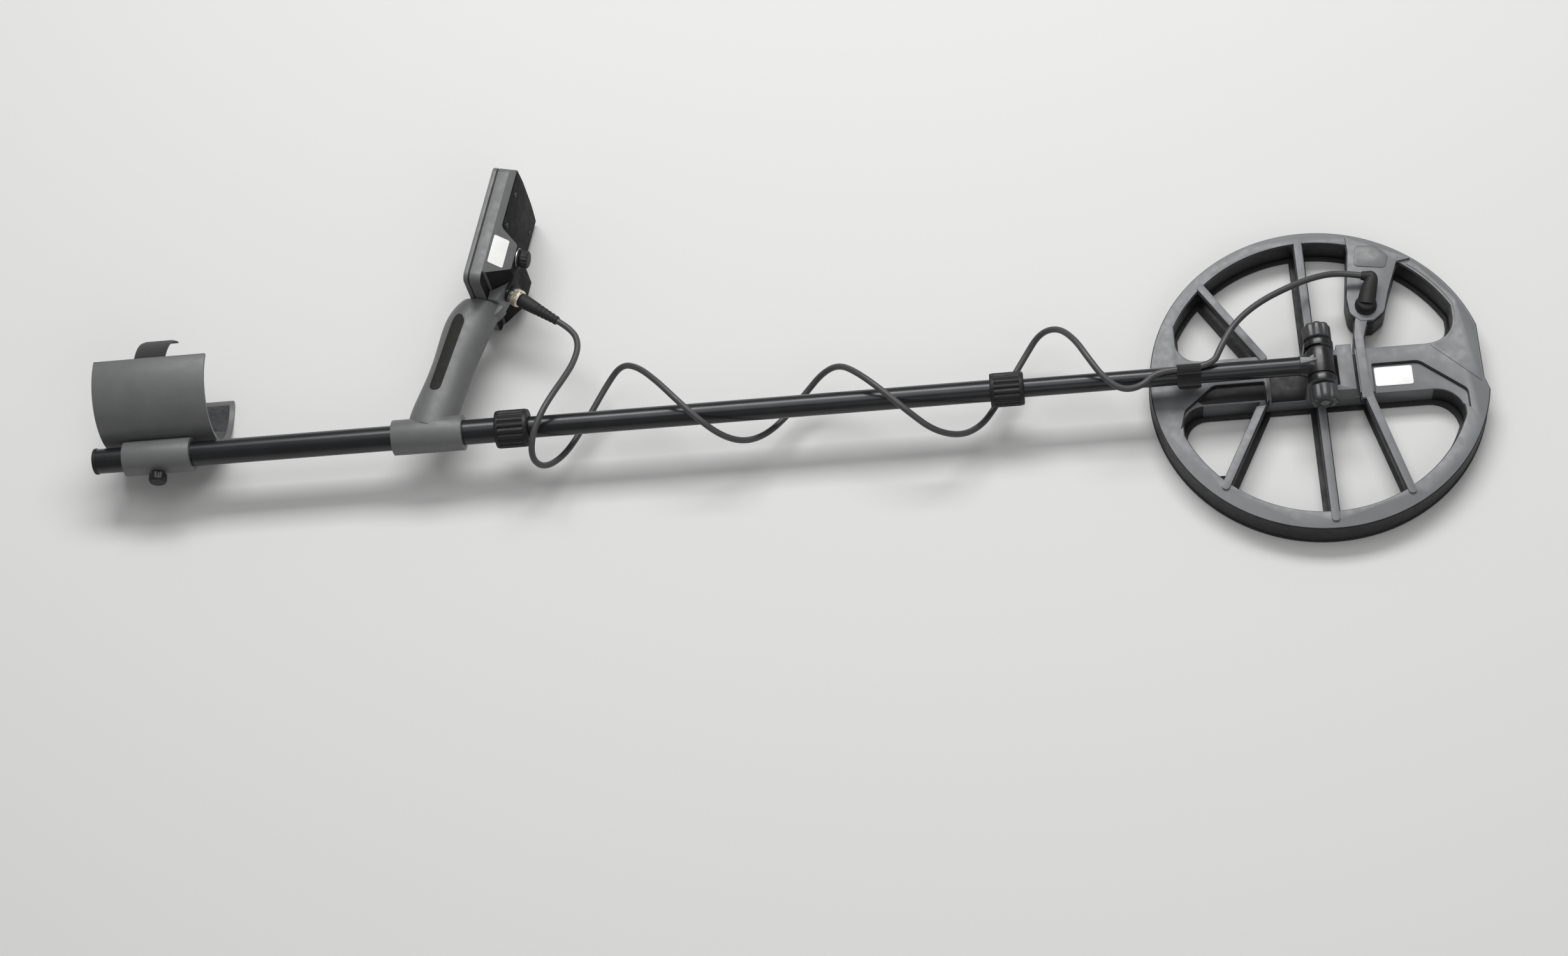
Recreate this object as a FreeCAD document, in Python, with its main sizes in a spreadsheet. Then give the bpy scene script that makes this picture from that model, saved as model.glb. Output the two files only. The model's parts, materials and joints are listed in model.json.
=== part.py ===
import FreeCAD, Part
import math
import os

# Metal detector with a double-D search coil, a three-stage shaft and a control pod.
# Frame: origin on the ground under the coil's centre, +Z up, +X from the armrest to the coil's toe,
# +Y the way the grip points. Millimetres. The detector lies on its side, its coil flat on the ground.

Vector = FreeCAD.Vector
Rotation = FreeCAD.Rotation
doc = FreeCAD.newDocument("MetalDetector")

SIZES = {
    # search coil
    "coil_radius": 142.5, "coil_toe": 137.0, "coil_height": 26.0, "skid_thickness": 3.0,
    "skid_lip": 1.5, "skid_window_lip": 4.0, "upper_rim_inner": 133.0, "lower_rim_inner": 127.5,
    "window_side": 119.0, "band_top": 24.0, "band_low": 18.0, "window_round": 24.0,
    "recess_heel": 42.0, "recess_toe": 34.0, "recess_floor": 18.0, "panel_level": 22.5,
    "spoke_width": 6.5, "spoke_floor": 18.0, "spoke_top": 28.0, "spoke_strip": 14.0,
    "winding_width": 5.0, "winding_height": 6.0, "winding_gap": 0.4, "winding_spine": 16.0,
    "ear_top": 28.5, "label_thickness": 0.6,
    # tilt hinge
    "shaft_axis": 48.0, "tongue_radius": 11.5, "tongue_half": 11.5, "washer_thickness": 2.4,
    "washer_radius": 10.5, "hinge_ear_in": 14.3, "hinge_ear_out": 19.4, "hinge_ear_radius": 12.5,
    "bolt_radius": 4.0, "bolt_half": 37.0, "knob_radius": 12.0, "knob_in": 20.0, "knob_out": 37.0,
    "bore_play": 0.06, "flute_radius": 2.6,
    # shafts
    "lower_radius": 8.0, "lower_wall": 1.2, "lower_front": -18.0, "lower_back": -466.0,
    "middle_radius": 9.5, "middle_wall": 1.1, "middle_front": -268.0, "middle_back": -868.0,
    "upper_radius": 11.0, "upper_wall": 1.1, "upper_front": -697.0, "upper_back": -1065.0,
    "lower_lock": -251.0, "upper_lock": -680.0, "lock_length": 29.0, "lock_rib": 0.9,
    "strap_centre": -111.0, "strap_width": 20.0, "strap_thickness": 1.6,
    # cable
    "cable_radius": 2.75,
    # control pod, in its own frame: thickness, height, and half width along Z
    "pod_x": -732.0, "pod_y": 127.0, "pod_tilt": 13.0, "pod_height": 117.0, "pod_half": 48.0,
    "pod_crown": 122.0,
    "pod_side": 15.6, "pod_back": 21.0, "pod_corner": 7.0, "pod_facet": 36.87, "bezel_depth": 4.0,
    "gasket_depth": 1.6, "bulge_back": 36.0, "pod_wall": 2.4,
    "window_low": 40.0, "window_high": 104.0, "window_half": 38.0, "window_depth": 1.5,
    "key_row": 25.0, "key_height": 8.0, "key_width": 11.0, "key_pitch": 16.0, "key_proud": 1.2,
    "key_play": 0.4, "power_row": 11.0, "power_radius": 5.0,
    "cap_row": 40.0, "cap_side": 22.0, "cap_radius": 8.0, "cap_length": 8.0, "socket_radius": 5.6,
    # plug of the coil cable
    "plug_x": -702.5, "plug_y": 138.5, "plug_fall": 36.87, "plug_length": 58.0, "ring_radius": 8.2,
    # grip and armrest
    "grip_wall": 2.6, "foot_back": -800.0, "foot_length": 62.0, "foot_radius": 15.5,
    "cuff_back": -1060.0, "cuff_length": 100.0, "cuff_radius": 48.0, "cuff_wall": 3.0,
    "cuff_axis": 62.0, "cuff_wing": 12.0, "pad_thickness": 3.6, "clamp_radius": 15.2,
}

sheet = doc.addObject("Spreadsheet::Sheet", "Sizes")
for row, (alias, value) in enumerate(SIZES.items(), start=1):
    sheet.set(f"A{row}", alias)
    sheet.set(f"B{row}", str(value))
    sheet.setAlias(f"B{row}", alias)
doc.recompute()

parts = {}


def size(alias):
    """A driving dimension, read from the sheet."""
    return float(sheet.get(alias))


def bound(text):
    """An expression over the sheet's aliases, in FreeCAD's own form."""
    words = text.replace("(", " ( ").replace(")", " ) ").split()
    return " ".join(f"Sizes.{word}" if word in SIZES else word for word in words)


def bind(thing, **texts):
    """Bind properties of a thing to expressions; a double underscore stands for a dot."""
    for name, text in texts.items():
        thing.setExpression(name.replace("__", "."), bound(str(text)))
    return thing


def put(thing, at, turn=None):
    """Place a thing at three expressions, turned by an optional rotation."""
    thing.Placement = FreeCAD.Placement(Vector(0, 0, 0), turn or Rotation())
    return bind(thing, Placement__Base__x=at[0], Placement__Base__y=at[1], Placement__Base__z=at[2])


AXIS_TURNS = {
    "x": Rotation(Vector(0, 1, 0), 90),
    "y": Rotation(Vector(1, 0, 0), -90),
    "z": Rotation(),
}


def box(length, width, height, at, turn=None):
    made = doc.addObject("Part::Box", "Block")
    bind(made, Length=length, Width=width, Height=height)
    return put(made, at, turn)


def turn_of(along):
    """An axis letter's rotation, or the rotation that was given."""
    return AXIS_TURNS[along] if isinstance(along, str) else along


def cylinder(radius, height, at, along="x"):
    made = doc.addObject("Part::Cylinder", "Round")
    bind(made, Radius=radius, Height=height)
    return put(made, at, turn_of(along))


def cone(radius1, radius2, height, at, along="x"):
    made = doc.addObject("Part::Cone", "Taper")
    bind(made, Radius1=radius1, Radius2=radius2, Height=height)
    return put(made, at, turn_of(along))


def fuse(*things):
    made = doc.addObject("Part::MultiFuse", "Joined")
    made.Shapes = list(things)
    made.Refine = True
    return made


def cut(base, *tools):
    made = doc.addObject("Part::Cut", "Trimmed")
    made.Base = base
    made.Tool = tools[0] if len(tools) == 1 else fuse(*tools)
    made.Refine = True
    return made


def common(first, second):
    made = doc.addObject("Part::Common", "Shared")
    made.Base = first
    made.Tool = second
    return made


def rounded(outline):
    """Lines and arcs of a closed outline of (x, y, corner radius)."""
    count = len(outline)
    ends = []
    for i, (x, y, radius) in enumerate(outline):
        corner = Vector(x, y, 0)
        back = (Vector(*outline[i - 1][:2], 0) - corner).normalize()
        ahead = (Vector(*outline[(i + 1) % count][:2], 0) - corner).normalize()
        half = back.getAngle(ahead) / 2
        reach = radius / math.tan(half) if radius else 0
        middle = corner
        if radius:
            inward = (back + ahead).normalize()
            middle = corner + inward * (radius / math.sin(half) - radius)
        ends.append((corner + back * reach, middle, corner + ahead * reach, radius))
    edges = []
    for i, (start, middle, end, radius) in enumerate(ends):
        if radius:
            edges.append(Part.Arc(start, middle, end))
        following = ends[(i + 1) % count][0]
        if (following - end).Length > 1e-6:
            edges.append(Part.LineSegment(end, following))
    return edges


def plate(outline, length, at=("0", "0", "0"), turn=None):
    """A padded sketch: a body whose outline is (x, y, corner radius) and whose pad is bound."""
    body = doc.addObject("PartDesign::Body", "Plate")
    sketch = body.newObject("Sketcher::SketchObject", "Outline")
    base = next(plane for plane in body.Origin.OriginFeatures if plane.Role == "XY_Plane")
    sketch.AttachmentSupport = [(base, "")]
    sketch.MapMode = "FlatFace"
    for edge in rounded(outline):
        sketch.addGeometry(edge, False)
    pad = body.newObject("PartDesign::Pad", "Depth")
    pad.Profile = sketch
    bind(pad, Length=length)
    return put(body, at, turn)


def keep(label, thing):
    """Name a finished sub-part."""
    thing.Label = label
    parts[label] = thing
    return thing


def feature(shape):
    """A shape that no parametric feature makes."""
    made = doc.addObject("Part::Feature", "Formed")
    made.Shape = shape
    return made


def rounded_path(points):
    """Straight runs joined by tangent arcs, each as large as its two runs allow."""
    corners = [Vector(*point) for point in points]
    edges = []
    start = corners[0]
    radii = []
    for before, corner, after in zip(corners, corners[1:], corners[2:]):
        back_way = (before - corner).normalize()
        on_way = (after - corner).normalize()
        half_turn = (math.pi - back_way.getAngle(on_way)) / 2
        reach = 0.45 * min((before - corner).Length, (after - corner).Length)
        radius = reach / math.tan(half_turn)
        radii.append(radius)
        inward = (back_way + on_way).normalize()
        middle = corner + inward * (radius / math.cos(half_turn) - radius)
        first = corner + back_way * reach
        last = corner + on_way * reach
        edges.append(Part.LineSegment(start, first).toShape())
        edges.append(Part.Arc(first, middle, last).toShape())
        start = last
    edges.append(Part.LineSegment(start, corners[-1]).toShape())
    return Part.Wire(edges), radii


def swept(route, radius):
    """A round cord along a rounded path; gives its shape, its length and its least bend radius."""
    path, radii = rounded_path(route)
    begin = Vector(*route[0])
    profile = Part.Wire([Part.Circle(begin, Vector(*route[1]) - begin, radius).toShape()])
    return path.makePipeShell([profile], True, False), path.Length, min(radii)


# ---------------------------------------------------------------- search coil

def coil_windows(lip, floor, height):
    """The two windows between the rim and the centre band, each smaller by a lip."""
    side = size("window_side") - lip
    top = size("band_top") + lip
    low = size("band_low") + lip
    reach = size("coil_radius")
    corner = size("window_round")
    upper = [(-side, top, corner * 0.8), (side, top, corner), (side, reach, 0), (-side, reach, 0)]
    lower = [(-side, -reach, 0), (side, -reach, 0), (side, -low, corner), (-side, -low, corner * 0.8)]
    made = []
    for outline, inner in ((upper, "upper_rim_inner"), (lower, "lower_rim_inner")):
        field = plate(outline, height, ("0", "0", floor))
        disc = cylinder(f"{inner} - {lip}", height, ("0", "0", floor), "z")
        made.append(common(field, disc))
    return made


# what the flattened toe takes off the disc, from the toe's own edge
TOE_CUT = [(0, -12, 8), (5, -29, 0), (30, -29, 0), (30, 60, 0), (0, 60, 0)]


def coil_plan(grow, lip, floor, height):
    """Disc with a flattened toe and two windows."""
    disc = cylinder(f"coil_radius + {grow}", height, ("0", "0", floor), "z")
    toe = plate(TOE_CUT, height, (f"coil_toe + {grow}", "0", floor))
    return cut(disc, toe, *coil_windows(lip, floor, height))


# spokes run from an inner to an outer point of the plan
SPOKES = [((-4, 20), (-4, 137)), ((-44, 20), (-93, 98)), ((-46, -14), (-90, -100)), ((-1, -16), (-1, -137))]


def spoke(start, end, width, floor, height):
    """A straight rib between two points of the plan, with a round outer end."""
    run = Vector(end[0] - start[0], end[1] - start[1], 0)
    turn = Rotation(Vector(1, 0, 0), run)
    half = size(width) / 2
    outline = [(0, -half, 0), (run.Length, -half, half * 0.9), (run.Length, half, half * 0.9), (0, half, 0)]
    return plate(outline, height, (str(start[0]), str(start[1]), floor), turn)


shell_height = "coil_height - skid_thickness"
spoke_height = "spoke_top - spoke_floor"

EAR = [(37, 134, 0), (38, 120, 6), (32, 74, 6), (33, 58, 8), (41, 50, 4), (52, 50, 4), (62, 58, 8),
       (67, 76, 6), (78, 106, 0), (90, 108, 0)]
ARM = [(37, 54, 3), (34, 36, 12), (34, -4, 20), (37, -24, 20), (62, -116, 3), (69, -118, 3), (44, -24, 20),
       (41.5, -4, 20), (41.5, 34, 10), (48, 54, 3)]
TOE_PANEL = [(45, -26, 0), (45, 9, 2), (85, 9, 12), (123, -22, 8), (123, -40, 0), (108, -30, 0)]
HEEL_PANEL = [(-46, -24, 0), (-46, 0, 2), (-90, 0, 10), (-116, -22, 8), (-121, -40, 0), (-108, -30, 0)]


def winding(sign, inset, floor, grow):
    """One D-shaped loop: a rim arc closed by a straight spine on the far side of the centre line."""
    width = size("winding_width")
    loops = []
    for step, swell in ((0, grow), (width, -grow)):
        radius = size("coil_radius") - inset - step + swell
        spine = size("winding_spine") - step + swell
        toe = size("coil_toe") - inset + 1 - step + swell
        disc = cylinder(radius, f"winding_height + {2 * grow}", ("0", "0", f"{floor} - {grow}"), "z")
        low = -spine if sign > 0 else -radius - 1
        field = box(f"{toe + radius + 1}", f"{radius + 1 + spine}", f"winding_height + {2 * grow}",
                    (f"{-radius - 1}", f"{low}", f"{floor} - {grow}"))
        loops.append(common(disc, field))
    return cut(loops[0], loops[1])


windings = [(1, 2.4, 4.0), (-1, 5.0, 11.0)]
hinge_base = "hinge_ear_out - hinge_ear_in"
shell_stock = [coil_plan(0, 0, "skid_thickness", shell_height)]
shell_stock += [spoke(start, end, "spoke_width", "spoke_floor", spoke_height) for start, end in SPOKES]
shell_stock.append(plate(EAR, "ear_top - skid_thickness", ("0", "0", "skid_thickness")))
shell_stock.append(plate(ARM, spoke_height, ("0", "0", "spoke_floor")))
rim_trim = cut(cylinder("coil_radius + 20", "40", ("0", "0", "skid_thickness"), "z"),
               cylinder("coil_radius", "40", ("0", "0", "skid_thickness"), "z"))
panels = [plate(outline, "10", ("0", "0", "panel_level")) for outline in (TOE_PANEL, HEEL_PANEL)]
recess = box("recess_heel + recess_toe - 1", "band_top + band_low + 0.2", "20",
             ("0 - recess_heel", "0 - band_low - 0.1", "recess_floor"))
body_stock = cut(fuse(*shell_stock), rim_trim, recess, *panels)
arm_bridge = plate([(34, 30, 0), (34, -24, 0), (41.5, -24, 0), (41.5, 30, 0)], "spoke_top - recess_floor",
                   ("0", "0", "recess_floor"))
hinge_parts = [arm_bridge]
for low in ("hinge_ear_in", "0 - hinge_ear_out"):
    hinge_parts.append(cylinder("hinge_ear_radius", hinge_base, ("0", low, "shaft_axis"), "y"))
    hinge_parts.append(box("2 * hinge_ear_radius + 4", hinge_base, "shaft_axis - recess_floor + 1",
                           ("0 - hinge_ear_radius", low, "recess_floor - 1")))
hinge_parts.append(box("13", "band_top + hinge_ear_out", "19", ("16", "0 - hinge_ear_out", "recess_floor - 1")))
hinge_bore = cylinder("bolt_radius + bore_play", "2 * bolt_half", ("0", "0 - bolt_half", "shaft_axis"), "y")
channels = [winding(sign, inset, floor, size("winding_gap")) for sign, inset, floor in windings]
ear_relief = box("2 * hinge_ear_radius + 4", hinge_base, "30",
                 ("hinge_ear_radius", "hinge_ear_in", "shaft_axis - 12"))
ear_relief_low = box("2 * hinge_ear_radius + 4", hinge_base, "30",
                     ("hinge_ear_radius", "0 - hinge_ear_out", "shaft_axis - 12"))
keep("coil_shell", cut(fuse(body_stock, *hinge_parts), hinge_bore, ear_relief, ear_relief_low, *channels))

skid_stock = [coil_plan(size("skid_lip"), size("skid_window_lip"), "0", "skid_thickness - 0.1")]
skid_stock += [spoke(start, end, "spoke_strip", "0", "skid_thickness - 0.1") for start, end in SPOKES]
skid_stock.append(plate(EAR, "skid_thickness - 0.1"))
skid_stock.append(plate(ARM, "skid_thickness - 0.1"))
skid_trim = cut(cylinder("coil_radius + 20", "10", ("0", "0", "-1"), "z"),
                cylinder("coil_radius + skid_lip", "10", ("0", "0", "-1"), "z"))
keep("coil_skid_plate", cut(fuse(*skid_stock), skid_trim))
for label, (sign, inset, floor) in zip(("transmit_winding", "receive_winding"), windings):
    keep(label, winding(sign, inset, floor, 0))

keep("coil_badge", plate([(45, 124, 3), (61, 123, 4), (72, 112, 4), (68, 100, 4), (41, 104, 4)],
                         "label_thickness", ("0", "0", "ear_top")))
keep("coil_label", plate([(47, -12, 2), (47, 6, 2), (79, 6, 2), (79, -12, 2)], "label_thickness",
                         ("0", "0", "panel_level")))
boot_turn = Rotation(Vector(0, 0, 1), Vector(7.5, 22, 1))
keep("coil_boot", fuse(
    cylinder("9.5", "9", ("47", "64", "ear_top"), "z"),
    cone("7.5", "5.2", "22", ("47", "64", "36"), boot_turn),
    cylinder("5.2", "8", ("54", "84.5", "33"), "z"),
    cone("4.2", "3.6", "8.9", ("54", "86.5", "38"), Rotation(Vector(0, 0, 1), Vector(-17.62, 3.54, 1.82)))))

# ---------------------------------------------------------------- tilt hinge

washers = []
for y in ("0 - tongue_half - 0.1 - washer_thickness", "tongue_half + 0.1"):
    washers.append(cut(cylinder("washer_radius", "washer_thickness", ("0", y, "shaft_axis"), "y"),
                       cylinder("bolt_radius + 0.1", "washer_thickness", ("0", y, "shaft_axis"), "y")))
keep("hinge_washers", fuse(*washers))
keep("hinge_bolt", cylinder("bolt_radius", "2 * bolt_half - 1", ("0", "0 - bolt_half", "shaft_axis"), "y"))


def fluted(y, bore, flutes=8):
    """A hand knob about the hinge axis with flutes round its edge."""
    length = "knob_out - knob_in"
    tools = [cylinder(bore, length, ("0", y, "shaft_axis"), "y")]
    for i in range(flutes):
        angle = 2 * math.pi * (i + 0.5) / flutes
        reach = size("knob_radius") + 1.2
        at = (f"{reach * math.cos(angle)}", y, f"shaft_axis + {reach * math.sin(angle)}")
        tools.append(cylinder("flute_radius", length, at, "y"))
    return cut(cylinder("knob_radius", length, ("0", y, "shaft_axis"), "y"), *tools)


keep("hinge_knob", fluted("knob_in", "bolt_radius + 0.01"))
keep("hinge_nut", fluted("0 - knob_out", "bolt_radius + bore_play"))

# ---------------------------------------------------------------- shafts


def tube(radius, wall, back, front):
    length = f"{front} - {back}"
    at = (back, "0", "shaft_axis")
    return cut(cylinder(radius, length, at), cylinder(f"{radius} - {wall}", length, at))


def ring(inner, outer, back, length):
    at = (back, "0", "shaft_axis")
    return cut(cylinder(outer, length, at), cylinder(inner, length, at))


keep("lower_tube", tube("lower_radius", "lower_wall", "lower_back", "lower_front"))
keep("middle_tube", tube("middle_radius", "middle_wall", "middle_back", "middle_front"))
keep("upper_tube", tube("upper_radius", "upper_wall", "upper_back", "upper_front"))
keep("lower_tube_bung", cylinder("lower_radius - lower_wall - 0.02", "10", ("lower_back", "0", "shaft_axis")))
keep("upper_end_cap", fuse(
    cylinder("upper_radius + 0.6", "3", ("upper_back - 3", "0", "shaft_axis")),
    cylinder("upper_radius - upper_wall - 0.02", "15", ("upper_back - 1", "0", "shaft_axis"))))

tongue = fuse(
    cylinder("tongue_radius", "2 * tongue_half", ("0", "0 - tongue_half", "shaft_axis"), "y"),
    common(cone("lower_radius + 0.6", "tongue_half", "12", ("-17", "0", "shaft_axis")),
           box("20", "2 * tongue_half", "20", ("-18", "0 - tongue_half", "shaft_axis - 10"))),
    cylinder("lower_radius + 0.6", "2", ("-18", "0", "shaft_axis")),
    cylinder("lower_radius - lower_wall - 0.02", "40", ("-56", "0", "shaft_axis")))
keep("rod_end", cut(tongue, cylinder("bolt_radius + bore_play", "2 * tongue_half",
                                     ("0", "0 - tongue_half", "shaft_axis"), "y")))


def lock_collar(front, bore, inner, outer, ribs=16):
    """A ribbed twist ring with a lip at its front."""
    back = f"{front} - lock_length"
    ribs_cut = []
    for i in range(ribs):
        angle = 2 * math.pi * i / ribs
        reach = size("lower_radius") + outer - 8 + size("lock_rib")
        ribs_cut.append(cylinder("lock_rib + 0.7", "lock_length - 6",
                                 (f"{back} + 3", f"{reach * math.cos(angle)}",
                                  f"shaft_axis + {reach * math.sin(angle)}")))
    return cut(cylinder(outer, "lock_length", (back, "0", "shaft_axis")),
               cylinder(inner, "lock_length - 2", (back, "0", "shaft_axis")),
               cylinder(bore, "lock_length", (back, "0", "shaft_axis")), *ribs_cut)


keep("lower_lock_collar", lock_collar("lower_lock", "lower_radius + 0.5", 12.5, 14.8))
keep("lower_lock_ferrule", ring("middle_radius + 0.02", "middle_radius + 2.6", "lower_lock - 28", "11"))
keep("lower_lock_collet", ring("lower_radius + bore_play", "lower_radius + 3.9", "lower_lock - 16", "13"))
keep("upper_lock_collar", lock_collar("upper_lock", "middle_radius + 0.5", 14.0, 16.6))
keep("upper_lock_ferrule", ring("upper_radius + 0.02", "upper_radius + 2.6", "upper_lock - 28", "11"))
keep("upper_lock_collet", ring("middle_radius + bore_play", "middle_radius + 3.9", "upper_lock - 16", "13"))

strap_back = "strap_centre - strap_width / 2"
cable_over = "shaft_axis + lower_radius + cable_radius + 0.3"
keep("cable_strap", cut(
    fuse(cylinder("lower_radius + strap_thickness", "strap_width", (strap_back, "0", "shaft_axis")),
         cylinder("cable_radius + strap_thickness", "strap_width", (strap_back, "0", cable_over))),
    cylinder("lower_radius + 0.02", "strap_width", (strap_back, "0", "shaft_axis")),
    cylinder("cable_radius + 0.1", "strap_width", (strap_back, "0", cable_over))))

# ---------------------------------------------------------------- control pod

pod_turn = Rotation(Vector(0, 0, 1), -size("pod_tilt"))
pod_place = FreeCAD.Placement(Vector(size("pod_x"), size("pod_y"), size("shaft_axis")), pod_turn)


def pod_at(thickness, height, width):
    """The row position of a point of the pod's own frame."""
    return pod_place.multVec(Vector(thickness, height, width))


def pod_words(thickness, height, width):
    point = pod_at(thickness, height, width)
    return (str(point.x), str(point.y), str(point.z))


def pod_box(low, high):
    spans = [f"{end - start}" for start, end in zip(low, high)]
    return box(*spans, pod_words(*low), pod_turn)


def pod_plate(outline, low, high):
    """A profile in the pod's thickness and height, spread across its width."""
    return plate(outline, f"{high - low}", pod_words(0, 0, low), pod_turn)


def pod_round(radius, length, start, along):
    """A cylinder in the pod's frame, along its thickness or its width."""
    turn = pod_turn.multiply(AXIS_TURNS[along])
    return cylinder(radius, length, pod_words(*start), turn)


half = size("pod_half")
tall = size("pod_height")
crown = size("pod_crown")
side = size("pod_side")
back = size("pod_back")
bezel = size("bezel_depth")
seal = size("bezel_depth") + size("gasket_depth")
bulge_back = size("bulge_back")
wall = size("pod_wall")
low_row = size("window_low")
high_row = size("window_high")
view_half = size("window_half")
key_cuts = []
key_play = size("key_play")
key_high = size("key_height") / 2
key_wide = size("key_width") / 2
for i in range(5):
    middle = (i - 2) * size("key_pitch")
    low = (-size("key_proud"), size("key_row") - key_high, middle - key_wide)
    high = (bezel + 1, size("key_row") + key_high, middle + key_wide)
    keep(f"key_{i + 1}", pod_box(low, high))
    key_cuts.append(pod_box((-5, low[1] - key_play, low[2] - key_play),
                            (bezel + 3, high[1] + key_play, high[2] + key_play)))
keep("power_key", pod_round("power_radius", f"{bezel + 1 + size('key_proud')}",
                            (-size("key_proud"), size("power_row"), 0), "x"))
key_cuts.append(pod_round("power_radius + key_play", "14", (-5, size("power_row"), 0), "x"))

# turns that lay a sketch square to the pod's thickness, or square to its height
FACE_TURN = pod_turn.multiply(Rotation(Vector(1, 1, 1), 120))
PLAN_TURN = pod_turn.multiply(Rotation(Vector(1, 0, 0), 90))


def pod_face(inset, corner, low, high):
    """A plate with rounded corners and an arched top, square to the pod's thickness between two depths."""
    outline = [(inset, inset - half, corner), (tall - inset, inset - half, corner), (crown - inset, 0, 150),
               (tall - inset, half - inset, corner), (inset, half - inset, corner)]
    return plate(outline, f"{high - low}", pod_words(low, 0, 0), FACE_TURN)


corner = size("pod_corner")
frame_hole = pod_box((-1, low_row + 3, 3 - view_half), (bezel + 1, high_row - 3, view_half - 3))
window_pocket = pod_box((-1, low_row - 0.1, -view_half - 0.1),
                        (size("window_depth") + 0.1, high_row + 0.1, view_half + 0.1))
keep("pod_bezel", cut(pod_face(0, corner, 0, bezel), frame_hole, window_pocket, *key_cuts))
keep("display_window", pod_box((0, low_row, -view_half), (size("window_depth"), high_row, view_half)))
inner_seal = pod_box((0, 6, 6 - half), (back, tall - 6, half - 6))
keep("pod_gasket", cut(pod_face(0.6, corner - 0.6, bezel + 0.05, seal - 0.05), inner_seal))

# back shell: a slab whose sides slope in towards a flat back, with a bulge for the cells and sockets
facet = math.tan(math.radians(size("pod_facet")))
reach = bulge_back + 4
narrow = half - facet * (reach - side)
wedge = plate([(seal - 1, -half - 1, 0), (side, -half, 0), (reach, -narrow, 0), (reach, narrow, 0),
               (side, half, 0), (seal - 1, half + 1, 0)], f"{crown + 4}", pod_words(0, crown + 2, 0), PLAN_TURN)
rear = [(side - 1, 9.5, 0), (side - 1, crown, 0), (back, crown, 3), (back, 58, 6), (bulge_back, 47.8, 3),
        (bulge_back, 23, 3), (side + 2.5, 9.5, 2)]
rear_block = common(pod_plate(rear, -half, half), common(wedge, pod_face(0, corner, seal, reach)))
horn_pocket = pod_box((side, 0, -14.6), (reach, 26.2, 14.6))
stock = cut(fuse(pod_face(0, corner, seal, side), rear_block), horn_pocket)
hollow = fuse(
    pod_box((seal - 1, wall, wall - half), (side - wall, tall - wall, half - wall)),
    pod_box((side - wall - 1, 50, 9 - half), (back - wall, tall - 6, half - 9)),
    pod_box((side - wall - 1, 29, -29), (bulge_back - wall, 46, 29)))
cap_row = size("cap_row")
cap_side = size("cap_side")
socket_hole = pod_round("socket_radius", "8", (bulge_back - 5, cap_row, cap_side), "x")
keep("pod_housing", cut(stock, hollow, socket_hole))
keep("lcd_panel", pod_box((bezel + 0.4, low_row + 1, 1 - view_half),
                          (bezel + 3.4, high_row - 1, view_half - 1)))
keep("main_board", pod_box((9.2, 6, 5 - half), (10.8, tall - 6, half - 5)))
keep("battery_cells", fuse(
    pod_round("6.8", "38", (21.2, 38.4, -26), "z"),
    pod_box((20.2, 35, 12), (23.2, 42, 12.4))))
keep("speaker", pod_round("13", "5", (12, 88, 0), "x"))
neck = bulge_back + 2.4
keep("accessory_socket", cut(
    fuse(pod_round("socket_radius - 0.05", "8.35", (bulge_back - 6, cap_row, cap_side), "x"),
         pod_round("cap_radius + 0.4", "1.2", (bulge_back + 0.05, cap_row, cap_side), "x")),
    pod_round("3.2", "8", (bulge_back - 3, cap_row, cap_side), "x")))
keep("dust_cap", pod_round("cap_radius", "cap_length", (neck, cap_row, cap_side), "x"))
pod_screws = [pod_round("2.4", "1.4", (back + 0.01, height, width), "x")
              for height in (66, 98) for width in (-33, 33)]
keep("pod_screws", fuse(*pod_screws))
facet_turn = pod_turn.multiply(Rotation(Vector(0, 1, 0), size("pod_facet")))
lean = math.radians(size("pod_facet"))
label_at = (side + 2.4 * math.cos(lean) + 0.02 * math.sin(lean), 20,
            half - 2.4 * math.sin(lean) + 0.02 * math.cos(lean))
keep("side_label", plate([(0, 0, 1.5), (15, 0, 1.5), (15, 28, 1.5), (0, 28, 1.5)], "0.5",
                         pod_words(*label_at), facet_turn))

# socket horn that stands on the grip and holds the coil socket
horn_shape = [(side + 0.3, 0.4, 0), (side + 0.3, 20, 4), (20, 25.6, 3), (27.5, 25.6, 3), (29, 17, 3),
              (25, 0.4, 2)]
plug_angle = math.radians(size("plug_fall"))
plug_way = Vector(math.cos(plug_angle), -math.sin(plug_angle), 0)
plug_turn = Rotation(Vector(0, 0, 1), plug_way)
plug_root = Vector(size("plug_x"), size("plug_y"), size("shaft_axis"))


def plug_words(along):
    point = plug_root + plug_way * along
    return (str(point.x), str(point.y), str(point.z))


socket_seat = cylinder("6.3", "12", plug_words(-4.1), plug_turn)
keep("socket_horn", cut(pod_plate(horn_shape, -14, 14), socket_seat))
keep("coil_socket", cylinder("6.2", "9", plug_words(-4), plug_turn))
keep("plug_ring", cut(cylinder("ring_radius", "11", plug_words(6), plug_turn),
                      cylinder("5.6", "11", plug_words(6), plug_turn)))
keep("plug_body", cylinder("5.2", "12", plug_words(5.1), plug_turn))
keep("plug_boot", cone("6.6", "3.5", "plug_length - 17.4", plug_words(17.4), plug_turn))

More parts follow.
